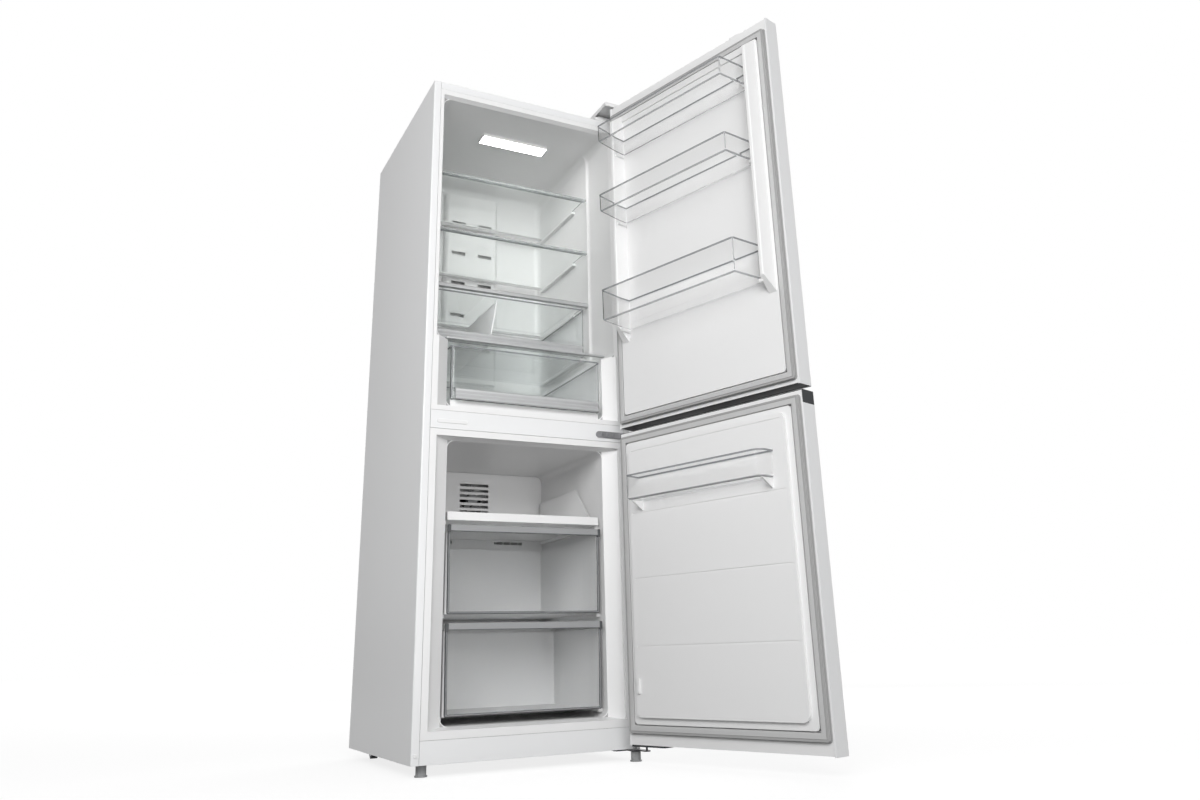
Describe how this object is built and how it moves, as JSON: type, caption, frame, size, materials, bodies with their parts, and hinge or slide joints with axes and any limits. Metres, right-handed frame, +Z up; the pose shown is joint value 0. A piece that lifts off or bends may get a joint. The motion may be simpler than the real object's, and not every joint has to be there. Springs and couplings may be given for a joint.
{
  "type": "bottom freezer refrigerator",
  "caption": "Tall refrigerator with the freezer below: insulated cabinet, two hinged doors with bins, glass shelves and sliding drawers.",
  "frame": {"origin": "on the floor, at the middle of the left front foot's underside, from which the cabinet is levelled; the cabinet's middle is 262 mm to the right and its front face 35 mm in front", "axes": "+Z up; -Y out of the front; +X towards the hinge side, right as seen from the front"},
  "size_m": [0.7535, 1.2513, 1.851],
  "materials": {
    "white_steel": "gloss",
    "galvanised": "satin",
    "white_plastic": "gloss",
    "liner_plastic": "gloss",
    "foam": "matte",
    "gasket_rubber": "matte",
    "dark_plastic": "matte",
    "grey_plastic": "matte",
    "hinge_steel": "satin",
    "screw_steel": "satin",
    "shelf_glass": "gloss",
    "clear_plastic": "gloss",
    "smoky_plastic": "gloss",
    "silver_trim": "satin",
    "light_plastic": "gloss",
    "aluminium": "satin",
    "compressor_black": "satin"
  },
  "bodies": {
    "cabinet": {"left_side_panel": "white_steel", "right_side_panel": "white_steel", "top_panel": "white_steel", "rear_panel": "galvanised", "compressor_deck": "galvanised", "plinth": "white_steel", "divider_rail": "white_steel", "hinge_hole_plugs": "white_plastic", "fridge_liner": "liner_plastic", "freezer_liner": "liner_plastic", "cabinet_foam": "foam", "compressor": "compressor_black", "condenser": "compressor_black", "drip_tray": "dark_plastic", "power_gland": "dark_plastic", "evaporator_cover": "white_plastic", "evaporator": "aluminium", "fan_motor": "dark_plastic", "air_duct": "white_plastic", "light_diffuser": "light_plastic", "meat_cover_shelf": "shelf_glass", "top_hinge": "hinge_steel", "middle_hinge": "hinge_steel", "bottom_hinge": "hinge_steel", "hinge_cover": "white_plastic", "hinge_screws": "screw_steel"},
    "upper_door": {"upper_door_skin": "white_steel", "upper_door_liner": "liner_plastic", "upper_door_foam": "foam", "upper_door_gasket": "gasket_rubber", "upper_door_top_cap": "white_plastic", "upper_door_bottom_cap": "dark_plastic"},
    "lower_door": {"lower_door_skin": "white_steel", "lower_door_liner": "liner_plastic", "lower_door_foam": "foam", "lower_door_gasket": "gasket_rubber", "lower_door_top_cap": "dark_plastic", "lower_door_bottom_cap": "dark_plastic"},
    "top_bin": {"top_door_bin": "clear_plastic"},
    "middle_bin": {"middle_door_bin": "clear_plastic"},
    "bottom_bin": {"bottom_door_bin": "clear_plastic"},
    "freezer_bin": {"freezer_door_bin": "clear_plastic"},
    "upper_shelf": {"upper_glass_shelf": "shelf_glass"},
    "middle_shelf": {"middle_glass_shelf": "shelf_glass"},
    "crisper_cover": {"crisper_cover_shelf": "shelf_glass"},
    "crisper": {"crisper_drawer": "clear_plastic", "crisper_handle": "silver_trim"},
    "divider": {"crisper_divider": "white_plastic"},
    "meat_box": {"meat_drawer": "clear_plastic", "meat_drawer_handle": "silver_trim"},
    "tray": {"freezer_tray": "white_plastic"},
    "upper_freezer_box": {"upper_freezer_drawer": "white_plastic", "upper_freezer_front": "smoky_plastic"},
    "lower_freezer_box": {"lower_freezer_drawer": "white_plastic", "lower_freezer_front": "smoky_plastic"},
    "fan": {"fan_rotor": "grey_plastic"},
    "left_foot": {"left_front_foot": "grey_plastic"},
    "right_foot": {"right_front_foot": "grey_plastic"},
    "right_roller": {"right_rear_roller": "dark_plastic"},
    "left_roller": {"left_rear_roller": "dark_plastic"}
  },
  "joints": [
    {"name": "upper_door_hinge", "type": "hinge", "parent": "cabinet", "child": "upper_door", "pos_m": [0.5465, -0.0904, 1.336], "axis": [0, 0, 1], "range_deg": [-106.45, 23.5]},
    {"name": "lower_door_hinge", "type": "hinge", "parent": "cabinet", "child": "lower_door", "pos_m": [0.5465, -0.0904, 0.432], "axis": [0, 0, 1], "range_deg": [-106.89, 23.1]},
    {"name": "top_bin_lift", "type": "slide", "parent": "upper_door", "child": "top_bin", "axis": [0, 0, 1], "range_m": [0, 0.045]},
    {"name": "middle_bin_lift", "type": "slide", "parent": "upper_door", "child": "middle_bin", "axis": [0, 0, 1], "range_m": [0, 0.045]},
    {"name": "bottom_bin_lift", "type": "slide", "parent": "upper_door", "child": "bottom_bin", "axis": [0, 0, 1], "range_m": [0, 0.045]},
    {"name": "freezer_bin_lift", "type": "slide", "parent": "lower_door", "child": "freezer_bin", "axis": [0, 0, 1], "range_m": [0, 0.04]},
    {"name": "upper_shelf_slide", "type": "slide", "parent": "cabinet", "child": "upper_shelf", "axis": [0, -1, 0], "range_m": [0, 0.2]},
    {"name": "middle_shelf_slide", "type": "slide", "parent": "cabinet", "child": "middle_shelf", "axis": [0, -1, 0], "range_m": [0, 0.2]},
    {"name": "crisper_cover_slide", "type": "slide", "parent": "cabinet", "child": "crisper_cover", "axis": [0, -1, 0], "range_m": [0, 0.2]},
    {"name": "crisper_slide", "type": "slide", "parent": "cabinet", "child": "crisper", "axis": [0, -1, 0], "range_m": [0, 0.2]},
    {"name": "divider_slide", "type": "slide", "parent": "crisper", "child": "divider", "axis": [1, 0, 0], "range_m": [-0.08, 0.1]},
    {"name": "meat_drawer_slide", "type": "slide", "parent": "cabinet", "child": "meat_box", "axis": [0, -1, 0], "range_m": [0, 0.3]},
    {"name": "tray_slide", "type": "slide", "parent": "cabinet", "child": "tray", "axis": [0, -1, 0], "range_m": [0, 0.18]},
    {"name": "upper_freezer_slide", "type": "slide", "parent": "cabinet", "child": "upper_freezer_box", "axis": [0, -1, 0], "range_m": [0, 0.3]},
    {"name": "lower_freezer_slide", "type": "slide", "parent": "cabinet", "child": "lower_freezer_box", "axis": [0, -1, 0], "range_m": [0, 0.24]},
    {"name": "fan_spin", "type": "hinge", "parent": "cabinet", "child": "fan", "pos_m": [0.262, 0.435, 0.712], "axis": [0, 1, 0], "continuous": true},
    {"name": "left_foot_turn", "type": "hinge", "parent": "cabinet", "child": "left_foot", "pos_m": [0, 0, 0.013], "axis": [0, 0, 1], "continuous": true},
    {"name": "right_foot_turn", "type": "hinge", "parent": "cabinet", "child": "right_foot", "pos_m": [0.534, -0.055, 0.012], "axis": [0, 0, 1], "continuous": true},
    {"name": "right_roller_spin", "type": "hinge", "parent": "cabinet", "child": "right_roller", "pos_m": [0.502, 0.525, 0.012], "axis": [1, 0, 0], "continuous": true},
    {"name": "left_roller_spin", "type": "hinge", "parent": "cabinet", "child": "left_roller", "pos_m": [0.022, 0.525, 0.012], "axis": [1, 0, 0], "continuous": true}
  ]
}
